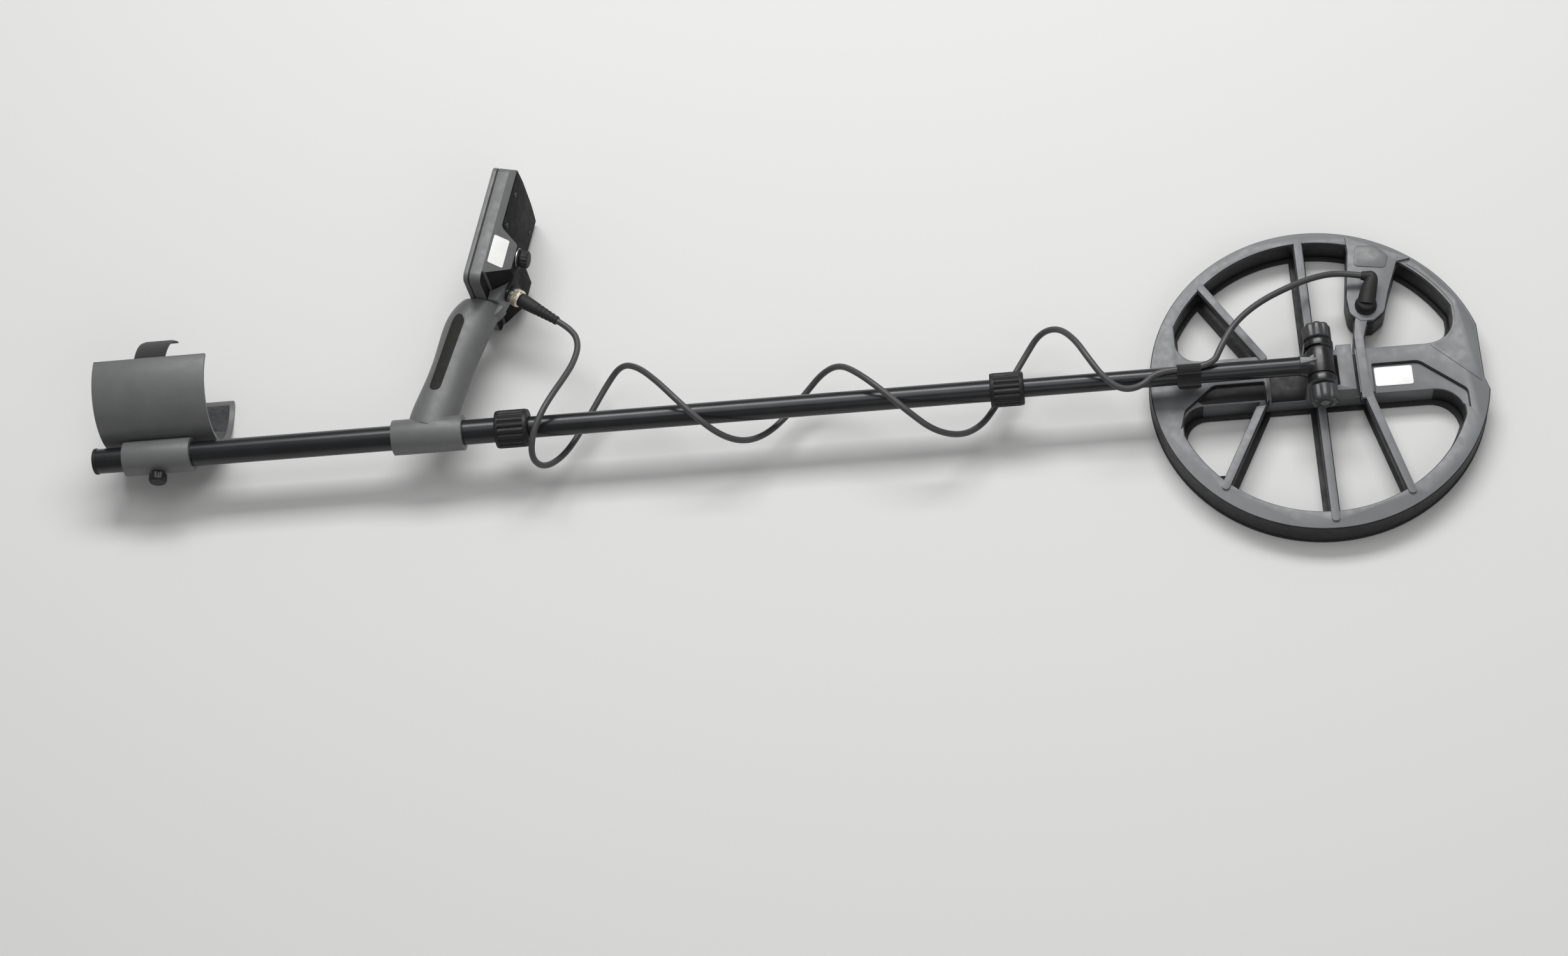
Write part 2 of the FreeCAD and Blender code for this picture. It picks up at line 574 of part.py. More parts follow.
# tether: a ring round the socket, a thin cord, and a ring round the plug's neck
tether_line = [pod_at(neck - 0.6, cap_row - 8.6, cap_side), pod_at(neck, cap_row - 15, cap_side),
               pod_at(bulge_back - 1, cap_row - 22.5, cap_side - 3)]
tether_line += [plug_root + plug_way * along + Vector(0, 0, rise) for along, rise in ((4.6, 13), (5.1, 7.2))]
tether_cord, _, _ = swept([tuple(point) for point in tether_line], 0.9)
keep("cap_tether", fuse(
    feature(tether_cord),
    cut(pod_round("cap_radius + 1.2", "1", (neck - 1.1, cap_row, cap_side), "x"),
        pod_round("socket_radius + 0.05", "1", (neck - 1.1, cap_row, cap_side), "x")),
    cut(cylinder("7.9", "1.25", plug_words(4.55), plug_turn),
        cylinder("6.3", "1.25", plug_words(4.55), plug_turn))))

# ---------------------------------------------------------------- grip

# centre x, centre y, tilt of the section, half depth and half width
GRIP_SECTIONS = [(-769, 4, 17.5, 19.5, 15.5), (-757, 40, 17.5, 19.5, 16), (-743.5, 82, 17.5, 20, 16.3),
                 (-735, 106, 15, 21.3, 16.3), (-724.3, 124.6, 13, 18.5, 15)]


def grip_loft(shrink):
    """The grip's outer or inner form, through tilted elliptical sections."""
    wires = []
    for x, y, tilt, depth, width in GRIP_SECTIONS:
        lean = math.radians(tilt)
        normal = Vector(math.sin(lean), math.cos(lean), 0)
        across = Vector(math.cos(lean), -math.sin(lean), 0)
        centre = Vector(x, y, size("shaft_axis"))
        deep = centre + across * (depth - shrink)
        wide = centre + normal.cross(across) * (width - shrink)
        oval = Part.Ellipse(deep, wide, centre)
        wires.append(Part.Wire([oval.toShape()]))
    return feature(Part.makeLoft(wires, True, False))


foot_at = ("foot_back", "0", "shaft_axis")
grip_outer = fuse(grip_loft(0), cylinder("foot_radius", "foot_length", foot_at))
tube_bore = cylinder("upper_radius + 0.04", "foot_length + 2", ("foot_back - 1", "0", "shaft_axis"))
inner_core = cut(grip_loft(size("grip_wall")), cylinder("foot_radius", "foot_length", foot_at))
top_cap = box("60", "20", "60", ("-748", "121", "20"), pod_turn)
inner_room = cut(inner_core, top_cap)
INLAY = [(-741.5, 116, 4), (-736, 103, 8), (-757, 36, 5), (-768, 36, 5), (-748, 104, 8)]
inlay_blocks = [plate(INLAY, "20", ("0", "0", f"shaft_axis + {low}")) for low in (10.5, -30.5)]
grip_body = cut(grip_outer, tube_bore, inner_room, *inlay_blocks)
split_box = ("200", "200", "40")
grip_sides = [("grip_left_shell", "shaft_axis + 0.03"), ("grip_right_shell", "shaft_axis - 40.03")]
screw_heads = [(-744, 52), (-724, 108)]
screw_cuts = [cylinder("3.3", "6", (str(x), str(y), "shaft_axis - 19"), "z") for x, y in screw_heads]
for label, low in grip_sides:
    whole = common(grip_body, box(*split_box, ("-880", "-40", low)))
    keep(label, cut(whole, *screw_cuts) if "right" in label else whole)
inlay_form = cut(grip_loft(-0.2), grip_loft(3.6))
inlay_pieces = [common(inlay_form, plate(INLAY, "9", ("0", "0", f"shaft_axis + {low}")))
                for low in (10.7, -19.7)]
keep("grip_inlays", fuse(*inlay_pieces))
keep("grip_screws", fuse(*[cylinder("3.2", "3", (str(x), str(y), "shaft_axis - 16"), "z")
                           for x, y in screw_heads]))

# ---------------------------------------------------------------- armrest

cuff_at = ("cuff_back", "cuff_axis", "shaft_axis")
over = box("cuff_length + 2", "120", "120", ("cuff_back - 1", "cuff_axis + cuff_wing", "shaft_axis - 60"))
clamp = cylinder("clamp_radius", "60", ("cuff_back + 20", "0", "shaft_axis"))
cuff_bore = cylinder("cuff_radius - cuff_wall", "cuff_length", cuff_at)
cuff_stock = fuse(cut(cylinder("cuff_radius", "cuff_length", cuff_at), cuff_bore, over),
                  cut(clamp, cuff_bore))
screw_hole = cylinder("3.1", "8", ("cuff_back + 50", "-16", "shaft_axis"), "y")
keep("armrest_cuff", cut(cuff_stock, cylinder("upper_radius + bore_play", "62",
                                              ("cuff_back + 19", "0", "shaft_axis")), screw_hole))
pad_radius = "cuff_radius - cuff_wall - 0.1"
pad_over = box("cuff_length + 2", "120", "120",
               ("cuff_back - 1", "cuff_axis + cuff_wing - 4", "shaft_axis - 60"))
keep("armrest_pad", cut(cylinder(pad_radius, "cuff_length - 8", ("cuff_back + 4", "cuff_axis", "shaft_axis")),
                        cylinder(f"{pad_radius} - pad_thickness", "cuff_length", cuff_at), pad_over))
strap_at = ("cuff_back + 36", "cuff_axis", "shaft_axis")
strap_over = box("40", "160", "120", ("cuff_back + 30", "cuff_axis + cuff_wing - 159.8", "shaft_axis - 60"))
keep("armrest_strap", cut(cylinder("cuff_radius", "28", strap_at),
                          cylinder("cuff_radius - 2.2", "28", strap_at), strap_over))
keep("armrest_screw", fuse(
    cylinder("3.0", "12", ("cuff_back + 50", "-23.5", "shaft_axis"), "y"),
    cylinder("8", "9", ("cuff_back + 50", "-25.5", "shaft_axis"), "y")))

# ---------------------------------------------------------------- coil cable

# routes in the row frame; each meets the next end to end
CABLE_ROUTES = {
    "cable_upper": [(-656.1, 103.7, 48), (-642.5, 93.5, 48), (-636.5, 77, 50.5), (-640, 58, 54.5),
                    (-647, 40, 61), (-656, 21, 68), (-665, 2, 72), (-674, -18, 68), (-677, -34, 54),
                    (-669, -35, 37), (-655, -19, 24), (-641, 4, 20.5), (-628, 26, 24)],
    "cable_middle": [(-628, 26, 24), (-615, 48, 27.5), (-600, 58, 42), (-583, 45, 59), (-565, 24, 69),
                     (-548, 3, 72), (-530, -15, 67), (-512, -26, 54), (-494, -26, 39), (-476, -14, 26),
                     (-458, 5, 21), (-440, 24, 26), (-424, 36, 38), (-408, 34, 54), (-392, 18, 67),
                     (-372, -3, 72), (-350, -24, 67), (-330, -37, 54), (-308, -36, 38), (-290, -21, 24),
                     (-276, 0, 19), (-262, 22, 21)],
    "cable_lower": [(-262, 22, 21), (-248, 44, 23), (-234, 59, 36), (-218, 54, 52), (-205, 35, 64),
                    (-195, 13, 69), (-184, -6, 68), (-169, -18, 64), (-152, -14, 60.5), (-138, 0, 59.05),
                    (-122, 0, 59.05)],
    "cable_coil": [(-122, 0, 59.05), (-91.5, 0, 59.05), (-82, 18.5, 61.5), (-68.5, 40, 61.5), (-46, 60, 57.5),
                   (-18, 76, 52), (6, 87, 46), (27.6, 91.8, 40.7), (45.22, 88.26, 38.88)],
}


cable_section = math.pi * size("cable_radius") ** 2
for label, route in CABLE_ROUTES.items():
    solid, length, least = swept(route, size("cable_radius"))
    keep(label, feature(solid))
    print(label, "length", round(length, 1), "least radius", round(least, 1),
          "volume ratio", round(solid.Volume / (cable_section * length), 4))

# ---------------------------------------------------------------- write

doc.recompute()
for thing in doc.Objects:
    if "Invalid" in thing.State or "Error" in thing.State:
        raise SystemExit(f"{thing.Name} ({thing.Label}) failed: {thing.State}")
os.makedirs("parts", exist_ok=True)
for label, thing in parts.items():
    shape = thing.Shape
    if shape.isNull() or not shape.isValid():
        raise SystemExit(f"{label}: shape is null or invalid")
    shape.exportStep(f"parts/{label}.step")
    bounds = shape.BoundBox
    print(f"{label:22s} solids {len(shape.Solids)} volume {shape.Volume:10.0f}",
          f"x {bounds.XMin:.1f}..{bounds.XMax:.1f} y {bounds.YMin:.1f}..{bounds.YMax:.1f}",
          f"z {bounds.ZMin:.1f}..{bounds.ZMax:.1f}")
print(len(parts), "parts")
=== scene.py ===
import json
import math

import bmesh
import bpy
from mathutils import Matrix, Vector


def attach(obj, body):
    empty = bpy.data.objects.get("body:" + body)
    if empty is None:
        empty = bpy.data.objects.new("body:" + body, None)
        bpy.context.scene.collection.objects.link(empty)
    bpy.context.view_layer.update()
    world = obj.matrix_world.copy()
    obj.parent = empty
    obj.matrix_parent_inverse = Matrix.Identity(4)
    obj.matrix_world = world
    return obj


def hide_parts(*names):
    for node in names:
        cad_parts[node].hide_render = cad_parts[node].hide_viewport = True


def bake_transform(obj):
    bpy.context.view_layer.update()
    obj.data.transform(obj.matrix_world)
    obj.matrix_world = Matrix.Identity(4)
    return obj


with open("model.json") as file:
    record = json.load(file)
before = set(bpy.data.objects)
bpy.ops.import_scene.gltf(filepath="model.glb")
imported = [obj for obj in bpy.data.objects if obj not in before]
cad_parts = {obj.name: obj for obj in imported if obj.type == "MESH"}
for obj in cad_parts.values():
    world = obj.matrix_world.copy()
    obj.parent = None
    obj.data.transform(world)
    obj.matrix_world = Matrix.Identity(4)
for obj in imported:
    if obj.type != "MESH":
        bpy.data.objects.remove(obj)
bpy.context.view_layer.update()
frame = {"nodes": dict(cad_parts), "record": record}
nodes = frame["nodes"]
MM = 0.001
SHAFT_Z = 48  # height of the shaft's axis above the ground, in millimetres

# ---------------------------------------------------------------- camera, lights and floor

CAMERA_PLACE = (-0.2491, -1.1390, 2.1990)
CAMERA_TURN = (26.177, 6.445, -1.736)
CAMERA_LENS = 65.08
FLOOR_REACH = 6
FLOOR_DROP = 0.0004
SKY_STRENGTH = 0.26
LIGHT_TARGET = (-0.4, 0.05, 0.05)
# name, place, width, depth and power of each soft box
LIGHTS = (
    ("key", (-0.35, 1.5, 2.3), 2.4, 0.8, 62),
    ("fill", (0.5, -1.9, 1.9), 2.0, 1.4, 9),
    ("top", (-0.4, 0.2, 3.0), 1.8, 1.8, 20),
)


def add_camera():
    """The camera, high on the near side of the shaft and looking down at it."""
    camera = bpy.data.objects.new("camera", bpy.data.cameras.new("camera"))
    camera.data.sensor_width = 36
    camera.data.lens = CAMERA_LENS
    camera.location = CAMERA_PLACE
    camera.rotation_euler = [math.radians(angle) for angle in CAMERA_TURN]
    bpy.context.collection.objects.link(camera)
    bpy.context.scene.camera = camera


def add_light(name, place, width, depth, power):
    """A soft box at a place, facing the model, with its width level."""
    light = bpy.data.lights.new(name, "AREA")
    light.shape = "RECTANGLE"
    light.size = width
    light.size_y = depth
    light.energy = power
    holder = bpy.data.objects.new(name, light)
    holder.location = place
    holder.rotation_euler = (Vector(LIGHT_TARGET) - Vector(place)).to_track_quat("-Z", "Y").to_euler()
    bpy.context.collection.objects.link(holder)


def add_floor():
    """A pale floor just under the model."""
    mesh = bpy.data.meshes.new("floor")
    mesh.from_pydata([(x, y, 0) for x, y in block(-FLOOR_REACH, -FLOOR_REACH, FLOOR_REACH, FLOOR_REACH)], [],
                     [(0, 1, 2, 3)])
    floor = bpy.data.objects.new("floor", mesh)
    floor.location.z = -FLOOR_DROP
    bpy.context.collection.objects.link(floor)
    mesh.materials.append(plain("floor_paper", (0.66, 0.66, 0.655), 0.8))


def add_studio():
    """The floor, three soft boxes and a dim white sky."""
    add_floor()
    for light in LIGHTS:
        add_light(*light)
    world = bpy.data.worlds.new("sky")
    world.use_nodes = True
    sky = world.node_tree.nodes["Background"]
    sky.inputs["Color"].default_value = (1, 1, 1, 1)
    sky.inputs["Strength"].default_value = SKY_STRENGTH
    bpy.context.scene.world = world
    bpy.context.scene.view_settings.view_transform = "Standard"


# ---------------------------------------------------------------- materials

NOISE_SPAN = (0.3, 0.7)  # the part of a noise's range that most of it lies in
FULL_TURN = 6.283
GREY = (0.135, 0.139, 0.145)

# base colour, roughness, grain and further shader sockets of each moulded material
MOULDED = {
    "grey_plastic": (GREY, 0.4, 0.12, {}),
    "pod_plastic": ((0.12, 0.122, 0.122), 0.44, 0.14, {}),
    "gloss_black": ((0.010, 0.010, 0.011), 0.3, 0.05, {}),
    "symbol": ((0.5, 0.5, 0.49), 0.5, 0.05, {}),
    "lcd": ((0.30, 0.33, 0.28), 0.3, 0.02, {}),
    "dark_plastic": ((0.009, 0.009, 0.010), 0.5, 0.16, {"Specular IOR Level": 0.35}),
    "rubber": ((0.015, 0.015, 0.0145), 0.62, 0.3, {"Specular IOR Level": 0.4}),
    "inlay_rubber": ((0.012, 0.012, 0.011), 0.75, 0.4, {"Specular IOR Level": 0.35}),
    "hinge_plastic": ((0.045, 0.046, 0.048), 0.36, 0.1, {}),
    # painted shade: near black for the pod's backward-looking faces and rear cover, which lie in shade
    "rear_painted_shade": ((0.008, 0.008, 0.009), 0.7, 0.3, {"Specular IOR Level": 0.2}),
    "label": ((0.86, 0.86, 0.85), 0.35, 0.02, {}),
    "badge": ((0.085, 0.087, 0.09), 0.34, 0.06, {}),
    "board": ((0.02, 0.16, 0.07), 0.4, 0.1, {}),
    "cable": ((0.05, 0.05, 0.052), 0.42, 0.12, {}),
}
# base colour and roughness of each metal
METALS = {
    "steel": ((0.62, 0.62, 0.61), 0.3),
    "brass": ((0.82, 0.74, 0.6), 0.33),
    "screw_steel": ((0.09, 0.09, 0.092), 0.4),
    "copper": ((0.6, 0.27, 0.13), 0.35),
}


def plain(name, colour, roughness, metallic=0.0, sockets=None):
    """A material whose shader sockets hold constants, ready for textures."""
    made = bpy.data.materials.new(name)
    made.use_nodes = True
    shader = made.node_tree.nodes["Principled BSDF"]
    shader.inputs["Base Color"].default_value = (*colour, 1)
    shader.inputs["Roughness"].default_value = roughness
    shader.inputs["Metallic"].default_value = metallic
    for socket, value in (sockets or {}).items():
        shader.inputs[socket].default_value = value
    return made


def node_of(material, kind, **values):
    """A new node whose sockets, or else properties, take the given values."""
    made = material.node_tree.nodes.new(kind)
    for name, value in values.items():
        if name in made.inputs:
            made.inputs[name].default_value = value
        else:
            setattr(made, name, value)
    return made


def place_of(material, stretch=(1, 1, 1)):
    """The object's own coordinates, in metres, scaled along each axis."""
    where = node_of(material, "ShaderNodeTexCoord")
    scale = node_of(material, "ShaderNodeMapping")
    scale.inputs["Scale"].default_value = stretch
    material.node_tree.links.new(where.outputs["Object"], scale.inputs["Vector"])
    return scale.outputs["Vector"]


def noise(material, place, scale, detail=3, rough=0.5):
    """A noise at a place, as a socket that runs from 0 to 1."""
    made = node_of(material, "ShaderNodeTexNoise", Scale=scale, Detail=detail, Roughness=rough)
    material.node_tree.links.new(place, made.inputs["Vector"])
    return made.outputs["Fac"]


def spread(material, factor, low, high):
    """Map a noise's middle range to a range of values."""
    made = node_of(material, "ShaderNodeMapRange")
    made.inputs["From Min"].default_value = NOISE_SPAN[0]
    made.inputs["From Max"].default_value = NOISE_SPAN[1]
    made.inputs["To Min"].default_value = low
    made.inputs["To Max"].default_value = high
    material.node_tree.links.new(factor, made.inputs["Value"])
    return made.outputs["Result"]


def tint(material, factor, dark, light):
    """A ramp between two colours into the base colour."""
    ramp = node_of(material, "ShaderNodeValToRGB")
    for stop, position, colour in zip(ramp.color_ramp.elements, NOISE_SPAN, (dark, light)):
        stop.position = position
        stop.color = (*colour, 1)
    shader = material.node_tree.nodes["Principled BSDF"]
    material.node_tree.links.new(factor, ramp.inputs["Fac"])
    material.node_tree.links.new(ramp.outputs["Color"], shader.inputs["Base Color"])


def rough_by(material, value):
    """Drive the roughness by a socket."""
    shader = material.node_tree.nodes["Principled BSDF"]
    material.node_tree.links.new(value, shader.inputs["Roughness"])


def bump_by(material, height, strength, distance):
    """Add a bump layer; later layers take the earlier one as their base."""
    shader = material.node_tree.nodes["Principled BSDF"]
    made = node_of(material, "ShaderNodeBump", Strength=strength, Distance=distance)
    links = material.node_tree.links
    links.new(height, made.inputs["Height"])
    if shader.inputs["Normal"].links:
        links.new(shader.inputs["Normal"].links[0].from_socket, made.inputs["Normal"])
    links.new(made.outputs["Normal"], shader.inputs["Normal"])


def shade(colour, factor):
    """A colour made darker or lighter."""
    return tuple(min(1, channel * factor) for channel in colour)


def moulded(name, colour, roughness, grain, sockets):
    """Moulded plastic: faint mottling, uneven gloss and a fine spark-eroded grain."""
    made = plain(name, colour, roughness, 0.0, sockets)
    place = place_of(made)
    cloud = noise(made, place, 55, 4, 0.6)
    tint(made, cloud, shade(colour, 0.93), shade(colour, 1.05))
    rough_by(made, spread(made, noise(made, place, 140, 3), roughness - 0.06, roughness + 0.08))
    bump_by(made, noise(made, place, 2600, 2), grain, 0.0002)
    bump_by(made, noise(made, place, 70, 2), 0.05, 0.001)
    return made


def drawn_tube():
    """The shafts' dark tube: fine streaks along its length under a thin coat."""
    coat = {"Coat Weight": 0.35, "Coat Roughness": 0.22}
    made = plain("black_tube", (0.016, 0.0165, 0.018), 0.34, 0.55, coat)
    streaks = noise(made, place_of(made, (12, 900, 900)), 1.0, 4, 0.6)
    rough_by(made, spread(made, streaks, 0.28, 0.42))
    bump_by(made, streaks, 0.08, 0.0002)
    tint(made, noise(made, place_of(made), 40, 3), (0.011, 0.0115, 0.013), (0.018, 0.019, 0.021))
    return made


def metal(name, colour, roughness):
    """Machined metal: fine lines and a faint change of tone."""
    made = plain(name, colour, roughness, 1.0)
    lines = noise(made, place_of(made, (600, 600, 60)), 1.0, 3)
    rough_by(made, spread(made, lines, roughness - 0.06, roughness + 0.12))
    bump_by(made, lines, 0.12, 0.0001)
    tint(made, noise(made, place_of(made), 90, 3), shade(colour, 0.86), shade(colour, 1.06))
    return made


def clear_window():
    """The display's clear cover, with a little uneven gloss."""
    made = plain("window", (0.82, 0.85, 0.84), 0.06, 0.0, {"Transmission Weight": 0.9, "IOR": 1.45})
    rough_by(made, spread(made, noise(made, place_of(made), 60, 4), 0.03, 0.09))
    return made


def make_materials():
    """Every material, by the record's slot or by its own name."""
    made = {name: moulded(name, *look) for name, look in MOULDED.items()}
    made["black_tube"] = drawn_tube()
    for name, look in METALS.items():
        made[name] = metal(name, *look)
    made["window"] = clear_window()
    made["webbing"] = woven("webbing", (0.007, 0.007, 0.008), 1900)
    made["foam"] = woven("foam", (0.035, 0.036, 0.038), 1300)
    return made


def woven(name, colour, fineness):
    """Woven cloth: crossed sine ribs with fuzz and a soft sheen."""
    made = plain(name, colour, 0.9, 0.0, {"Sheen Weight": 0.25, "Sheen Roughness": 0.5})
    place = place_of(made)
    links = made.node_tree.links
    ribs = []
    for direction in ("X", "Y", "Z"):
        wave = node_of(made, "ShaderNodeTexWave", Scale=fineness / FULL_TURN, Distortion=0.6, Detail=1.0)
        wave.bands_direction = direction
        links.new(place, wave.inputs["Vector"])
        ribs.append(wave.outputs["Fac"])
    crossed = node_of(made, "ShaderNodeMath", operation="MULTIPLY")
    links.new(ribs[0], crossed.inputs[0])
    links.new(ribs[1], crossed.inputs[1])
    total = node_of(made, "ShaderNodeMath", operation="ADD")
    links.new(crossed.outputs[0], total.inputs[0])
    links.new(ribs[2], total.inputs[1])
    bump_by(made, total.outputs[0], 0.5, 0.0004)
    tint(made, noise(made, place, 400, 4), shade(colour, 0.7), shade(colour, 1.5))
    return made


# ---------------------------------------------------------------- mesh helpers

WELD = 1e-6  # vertices nearer than this are one
FLAT = 0.6   # neighbouring faces that turn by fewer degrees are one
BODY_OF = {node: body for body, members in frame["record"]["behaviour"]["bodies"].items() for node in members}
SLOT_OF = {entry["node"]: entry["material_slot"] for entry in frame["record"]["subparts"]}


def smooth(mesh, angle=35):
    """Smooth shading that keeps edges sharper than an angle."""
    for face in mesh.polygons:
        face.use_smooth = True
    mesh.set_sharp_from_angle(angle=math.radians(angle))


def add_piece(name, mesh, body, material, replaced=()):
    """Link a mesh as a piece of the model that rides on a body."""
    piece = bpy.data.objects.new(name, mesh)
    bpy.context.collection.objects.link(piece)
    mesh.materials.clear()
    mesh.materials.append(material)
    if body:
        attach(piece, body)
    if replaced:
        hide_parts(*replaced)
    return piece


def node_mesh(node):
    """A welded copy of a CAD node's mesh with its flat faces whole."""
    mesh = nodes[node].data.copy()
    build = bmesh.new()
    build.from_mesh(mesh)
    bmesh.ops.remove_doubles(build, verts=build.verts, dist=WELD)
    bmesh.ops.dissolve_limit(build, angle_limit=math.radians(FLAT), verts=build.verts, edges=build.edges,
                             use_dissolve_boundaries=False)
    build.to_mesh(mesh)
    build.free()
    return mesh


def applied(mesh, kind, **settings):
    """A mesh with one modifier of a kind applied."""
    holder = bpy.data.objects.new("holder", mesh)
    bpy.context.collection.objects.link(holder)
    modifier = holder.modifiers.new("step", kind)
    for name, value in settings.items():
        setattr(modifier, name, value)
    bpy.context.view_layer.update()
    evaluated = holder.evaluated_get(bpy.context.evaluated_depsgraph_get())
    result = bpy.data.meshes.new_from_object(evaluated)
    bpy.data.objects.remove(holder)
    return result


def soften(node, width, material):
    """Replace a CAD node by its own shape with rolled edges."""
    mesh = applied(node_mesh(node), "BEVEL", width=width, segments=3, limit_method="ANGLE",
                   angle_limit=math.radians(32), use_clamp_overlap=True, profile=0.5,
                   miter_outer="MITER_ARC")
    smooth(mesh, 40)
    return add_piece(f"{node}_skin", mesh, BODY_OF[node], material, (node,))


def closed_mesh(name, build, angle=40):
    """Finish a bmesh as a smooth-shaded mesh with its normals outward."""
    bmesh.ops.recalc_face_normals(build, faces=build.faces)
    mesh = bpy.data.meshes.new(name)
    build.to_mesh(mesh)
    build.free()
    smooth(mesh, angle)
    return mesh


def join_rings(build, rings, bored=False):
    """Faces from each ring to the next, then caps, or for a bored body faces back to the first ring."""
    sides = len(rings[0])
    pairs = list(zip(rings, rings[1:]))
    if bored:
        pairs.append((rings[-1], rings[0]))
    for first, second in pairs:
        for k in range(sides):
            after = (k + 1) % sides
            build.faces.new((first[k], first[after], second[after], second[k]))
    if not bored:
        build.faces.new(rings[0])
        build.faces.new(rings[-1])


def join_grid(build, grid, steps, across):
    """Faces over both levels of a grid of vertices, and between the levels along its four edges."""
    for i in range(steps):
        for j in range(across):
            for level in (0, 1):
                build.faces.new([grid[i, j, level], grid[i + 1, j, level], grid[i + 1, j + 1, level],
                                 grid[i, j + 1, level]])
    for i in range(steps):
        for j in (0, across):
            build.faces.new([grid[i, j, 0], grid[i + 1, j, 0], grid[i + 1, j, 1], grid[i, j, 1]])
    for j in range(across):
        for i in (0, steps):
            build.faces.new([grid[i, j, 0], grid[i, j + 1, 0], grid[i, j + 1, 1], grid[i, j, 1]])


def paint_faces(piece, material, chosen):
    """Give the faces that a test of the face and its corners picks a second material."""
    mesh = piece.data
    mesh.materials.append(material)
    for face in mesh.polygons:
        if chosen(face, [mesh.vertices[i].co / MM for i in face.vertices]):
            face.material_index = 1


# ---------------------------------------------------------------- cable

CABLE_RADIUS = 2.75 * MM
CABLE_ROUTES = {
    "cable_upper": [(-656.1, 103.7, 48), (-642.5, 93.5, 48), (-636.5, 77, 50.5), (-640, 58, 54.5),
                    (-647, 40, 61), (-656, 21, 68), (-665, 2, 72), (-674, -18, 68), (-677, -34, 54),
                    (-669, -35, 37), (-655, -19, 24), (-641, 4, 20.5), (-628, 26, 24)],
    "cable_middle": [(-628, 26, 24), (-615, 48, 27.5), (-600, 58, 42), (-583, 45, 59), (-565, 24, 69),
                     (-548, 3, 72), (-530, -15, 67), (-512, -26, 54), (-494, -26, 39), (-476, -14, 26),
                     (-458, 5, 21), (-440, 24, 26), (-424, 36, 38), (-408, 34, 54), (-392, 18, 67),
                     (-372, -3, 72), (-350, -24, 67), (-330, -37, 54), (-308, -36, 38), (-290, -21, 24),
                     (-276, 0, 19), (-262, 22, 21)],
    "cable_lower": [(-262, 22, 21), (-248, 44, 23), (-234, 59, 36), (-218, 54, 52), (-205, 35, 64),
                    (-195, 13, 69), (-184, -6, 68), (-169, -18, 64), (-152, -14, 60.5), (-138, 0, 59.05),
                    (-122, 0, 59.05)],
    "cable_coil": [(-122, 0, 59.05), (-91.5, 0, 59.05), (-82, 18.5, 61.5), (-68.5, 40, 61.5), (-46, 60, 57.5),
                   (-18, 76, 52), (6, 87, 46), (27.6, 91.8, 40.7), (45.22, 88.26, 38.88)],
}


def route_line(points):
    """Points along the smooth line that a route controls, in metres."""
    curve = bpy.data.curves.new("route", "CURVE")
    curve.dimensions = "3D"
    curve.resolution_u = 10
    spline = curve.splines.new("NURBS")
    spline.points.add(len(points) - 1)
    for point, place in zip(spline.points, points):
        point.co = (*[value * MM for value in place], 1)
    spline.order_u = 3
    spline.use_endpoint_u = True
    holder = bpy.data.objects.new("route", curve)
    bpy.context.collection.objects.link(holder)
    bpy.context.view_layer.update()
    mesh = bpy.data.meshes.new_from_object(holder.evaluated_get(bpy.context.evaluated_depsgraph_get()))
    line = [vertex.co.copy() for vertex in mesh.vertices]
    bpy.data.objects.remove(holder)
    return line


def line_length(line):
    """The length of a line of points."""
    return sum((b - a).length for a, b in zip(line, line[1:]))


def swept(name, line, radius, sides=20):
    """A closed tube along a line, without twist; radius is a function of the share of the line run."""
    build = bmesh.new()
    side = None
    rings = []
    total = line_length(line)
    run = 0
    for i, point in enumerate(line):
        ahead = line[min(i + 1, len(line) - 1)] - line[max(i - 1, 0)]
        way = ahead.normalized()
        if side is None:
            side = way.orthogonal().normalized()
        side = (side - way * side.dot(way)).normalized()
        other = way.cross(side)
        if i:
            run += (point - line[i - 1]).length
        size = radius(run / total)
        ring = []
        for k in range(sides):
            angle = 2 * math.pi * k / sides
            ring.append(build.verts.new(point + (side * math.cos(angle) + other * math.sin(angle)) * size))
        rings.append(ring)
    join_rings(build, rings)
    return closed_mesh(name, build, 50)


def add_cables(material):
    """The coil cable in four stretches that meet end to end."""
    for name, route in CABLE_ROUTES.items():
        line = route_line(route)
        mesh = swept(f"{name}_run", line, lambda share: CABLE_RADIUS)
        piece = add_piece(f"{name}_run", mesh, None, material, (name,))
        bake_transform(piece)


# ---------------------------------------------------------------- turned and flat pieces

def eased(profile, radius, steps=3):
    """Round the corners of a turned profile of (along, radius, lobe share)."""
    out = [profile[0]]
    for before, corner, after in zip(profile, profile[1:], profile[2:]):
        point = Vector(corner[:2])
        back = Vector(before[:2]) - point
        on = Vector(after[:2]) - point
        reach = min(radius, 0.45 * back.length, 0.45 * on.length)
        start = point + back.normalized() * reach
        end = point + on.normalized() * reach
        for i in range(steps + 1):
            f = i / steps
            spot = start * (1 - f) ** 2 + point * 2 * f * (1 - f) + end * f ** 2
            out.append((spot.x, spot.y, corner[2]))
    out.append(profile[-1])
    return out


def turned(name, profile, origin, axis, lobes=0, depth=0.0, sides=72, bored=False):
    """A body turned about an axis, in millimetres; the profile says how deep its lobes are cut."""
    way = Vector(axis).normalized()
    side = way.orthogonal().normalized()
    other = way.cross(side)
    build = bmesh.new()
    rings = []
    for along, radius, share in profile:
        ring = []
        for k in range(sides):
            angle = 2 * math.pi * k / sides
            valley = (0.5 - 0.5 * math.cos(lobes * angle)) ** 2 if lobes else 0
            out = (side * math.cos(angle) + other * math.sin(angle)) * (radius - depth * share * valley)
            ring.append(build.verts.new((Vector(origin) + way * along + out) * MM))
        rings.append(ring)
    join_rings(build, rings, bored)
    return closed_mesh(name, build)


